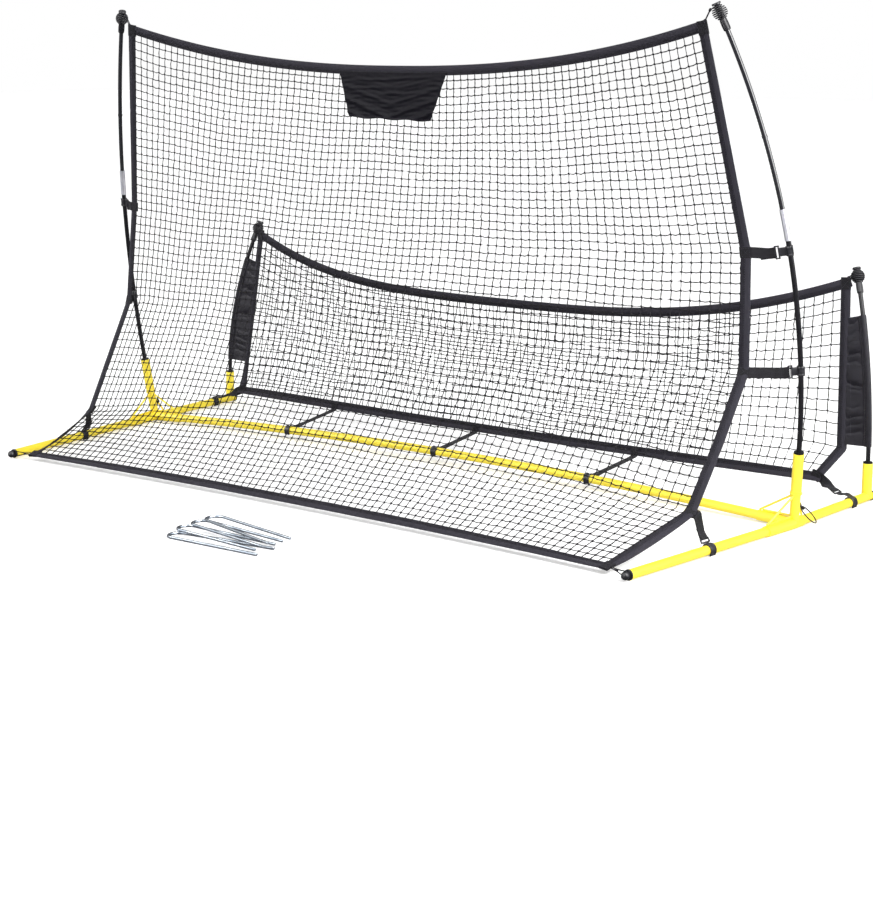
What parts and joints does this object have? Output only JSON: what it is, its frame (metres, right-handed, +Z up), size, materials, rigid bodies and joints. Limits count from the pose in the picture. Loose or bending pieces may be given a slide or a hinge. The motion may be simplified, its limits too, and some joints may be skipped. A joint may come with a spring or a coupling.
{
  "type": "two-sided football rebounder",
  "caption": "Portable football rebounder: steel tube base, tall bowed poles with an inclined net and apron, a low rear net on short poles, and ground pegs.",
  "frame": {"origin": "on the ground, at the middle of the footprint of the set with its pegs laid out", "axes": "+X along the crossbar to the right end, +Y from the tall net's apron towards the low rear net, +Z up"},
  "size_m": [2.1842, 1.3751, 1.2091],
  "materials": {
    "yellow_powder_coat": "bright yellow powder coat on steel tube, semi-gloss",
    "black_rubber": "matt black moulded rubber",
    "pole_black": "black lacquered fibreglass rod, satin gloss",
    "ferrule_alloy": "bright drawn aluminium sleeve",
    "net_cord": "black knotted twine",
    "hem_fabric": "black woven polyester tape and cloth, stitched",
    "webbing": "black woven webbing",
    "clip_nylon": "black moulded nylon",
    "elastic_cord": "black covered elastic cord",
    "zinc_steel": "bright zinc-plated steel wire"
  },
  "bodies": {
    "frame_and_nets": {"front_rail_right": "yellow_powder_coat", "front_rail_left": "yellow_powder_coat", "corner_bracket_right": "yellow_powder_coat", "corner_bracket_left": "yellow_powder_coat", "rear_rail_right": "yellow_powder_coat", "rear_rail_left": "yellow_powder_coat", "crossbar_right": "yellow_powder_coat", "crossbar_middle": "yellow_powder_coat", "crossbar_left": "yellow_powder_coat", "rail_ball_caps": "black_rubber", "rail_end_plugs": "black_rubber", "tall_pole_lower_right": "pole_black", "tall_pole_lower_left": "pole_black", "pole_ferrules": "ferrule_alloy", "tall_pole_upper_right": "pole_black", "tall_pole_upper_left": "pole_black", "rear_pole_right": "pole_black", "rear_pole_left": "pole_black", "tall_cap_right": "black_rubber", "tall_cap_left": "black_rubber", "rear_cap_right": "black_rubber", "rear_cap_left": "black_rubber", "tall_net": "net_cord", "tall_net_top_hem": "hem_fabric", "tall_net_front_hem": "hem_fabric", "side_tape_right": "hem_fabric", "side_tape_left": "hem_fabric", "banner": "hem_fabric", "rear_net": "net_cord", "rear_net_top_hem": "hem_fabric", "rear_net_bottom_hem": "hem_fabric", "rear_side_tape_right": "hem_fabric", "rear_side_tape_left": "hem_fabric", "rear_sleeve_right": "hem_fabric", "rear_sleeve_left": "hem_fabric", "tall_elastics": "elastic_cord", "rear_elastics": "elastic_cord", "apron_elastics": "elastic_cord", "upper_pole_straps": "webbing", "lower_pole_straps": "webbing", "bend_straps": "webbing", "rear_corner_straps": "webbing", "crossbar_straps": "webbing"},
    "upper_clip_right": {"upper_clip_right": "clip_nylon"},
    "upper_clip_left": {"upper_clip_left": "clip_nylon"},
    "lower_clip_right": {"lower_clip_right": "clip_nylon"},
    "lower_clip_left": {"lower_clip_left": "clip_nylon"},
    "bend_clip_right": {"bend_clip_right": "clip_nylon"},
    "bend_clip_left": {"bend_clip_left": "clip_nylon"},
    "rear_clip_right": {"rear_clip_right": "clip_nylon"},
    "rear_clip_left": {"rear_clip_left": "clip_nylon"},
    "crossbar_clip_right": {"crossbar_clip_right": "clip_nylon"},
    "crossbar_clip_middle": {"crossbar_clip_middle": "clip_nylon"},
    "crossbar_clip_left": {"crossbar_clip_left": "clip_nylon"},
    "storage_loop_right": {"storage_loop_right": "elastic_cord"},
    "storage_loop_left": {"storage_loop_left": "elastic_cord"},
    "ground_peg_1": {"ground_peg_1": "zinc_steel"},
    "ground_peg_2": {"ground_peg_2": "zinc_steel"},
    "ground_peg_3": {"ground_peg_3": "zinc_steel"},
    "ground_peg_4": {"ground_peg_4": "zinc_steel"}
  },
  "joints": [
    {"name": "upper_clip_right_slide", "type": "slide", "parent": "frame_and_nets", "child": "upper_clip_right", "axis": [-0.1074, -0.1733, 0.979], "range_m": [-0.015, 0.012], "deforming": ["upper_pole_straps"]},
    {"name": "upper_clip_left_slide", "type": "slide", "parent": "frame_and_nets", "child": "upper_clip_left", "axis": [0.1074, -0.1733, 0.979], "range_m": [-0.015, 0.012], "deforming": ["upper_pole_straps"]},
    {"name": "lower_clip_right_slide", "type": "slide", "parent": "frame_and_nets", "child": "lower_clip_right", "axis": [0.0171, -0.1401, 0.99], "range_m": [-0.015, 0.015], "deforming": ["lower_pole_straps"]},
    {"name": "lower_clip_left_slide", "type": "slide", "parent": "frame_and_nets", "child": "lower_clip_left", "axis": [-0.0171, -0.1401, 0.99], "range_m": [-0.015, 0.015], "deforming": ["lower_pole_straps"]},
    {"name": "bend_clip_right_slide", "type": "slide", "parent": "frame_and_nets", "child": "bend_clip_right", "axis": [-0.1253, -0.9921, 0], "range_m": [-0.015, 0.015], "deforming": ["bend_straps"]},
    {"name": "bend_clip_left_slide", "type": "slide", "parent": "frame_and_nets", "child": "bend_clip_left", "axis": [0.1253, -0.9921, 0], "range_m": [-0.015, 0.015], "deforming": ["bend_straps"]},
    {"name": "rear_clip_right_slide", "type": "slide", "parent": "frame_and_nets", "child": "rear_clip_right", "axis": [0.0628, 0.998, 0], "range_m": [-0.015, 0.015], "deforming": ["rear_corner_straps"]},
    {"name": "rear_clip_left_slide", "type": "slide", "parent": "frame_and_nets", "child": "rear_clip_left", "axis": [-0.0628, 0.998, 0], "range_m": [-0.015, 0.015], "deforming": ["rear_corner_straps"]},
    {"name": "crossbar_clip_right_slide", "type": "slide", "parent": "frame_and_nets", "child": "crossbar_clip_right", "axis": [0.999, -0.0415, -0.0149], "range_m": [-0.015, 0.015], "deforming": ["crossbar_straps"]},
    {"name": "crossbar_clip_middle_slide", "type": "slide", "parent": "frame_and_nets", "child": "crossbar_clip_middle", "axis": [1, 0.0032, 0.0011], "range_m": [-0.015, 0.015], "deforming": ["crossbar_straps"]},
    {"name": "crossbar_clip_left_slide", "type": "slide", "parent": "frame_and_nets", "child": "crossbar_clip_left", "axis": [0.9986, 0.0494, 0.0178], "range_m": [-0.015, 0.015], "deforming": ["crossbar_straps"]},
    {"name": "storage_loop_right_swing", "type": "hinge", "parent": "frame_and_nets", "child": "storage_loop_right", "pos_m": [1.05668, 0.27576, 0.05437], "axis": [0.0758, -0.5703, 0.8179], "range_deg": [-25, 25]},
    {"name": "storage_loop_left_swing", "type": "hinge", "parent": "frame_and_nets", "child": "storage_loop_left", "pos_m": [-1.05668, 0.27576, 0.05437], "axis": [-0.0758, -0.5703, 0.8179], "range_deg": [-25, 25]},
    {"name": "ground_peg_1_pull", "type": "slide", "parent": "frame_and_nets", "child": "ground_peg_1", "axis": [0.9976, 0.0698, 0], "range_m": [0, 0.3]},
    {"name": "ground_peg_2_pull", "type": "slide", "parent": "frame_and_nets", "child": "ground_peg_2", "axis": [0.9986, -0.0523, 0], "range_m": [0, 0.3]},
    {"name": "ground_peg_3_pull", "type": "slide", "parent": "frame_and_nets", "child": "ground_peg_3", "axis": [0.9898, -0.1426, 0], "range_m": [0, 0.3]},
    {"name": "ground_peg_4_pull", "type": "slide", "parent": "frame_and_nets", "child": "ground_peg_4", "axis": [0.9755, -0.2198, 0], "range_m": [0, 0.3]}
  ]
}
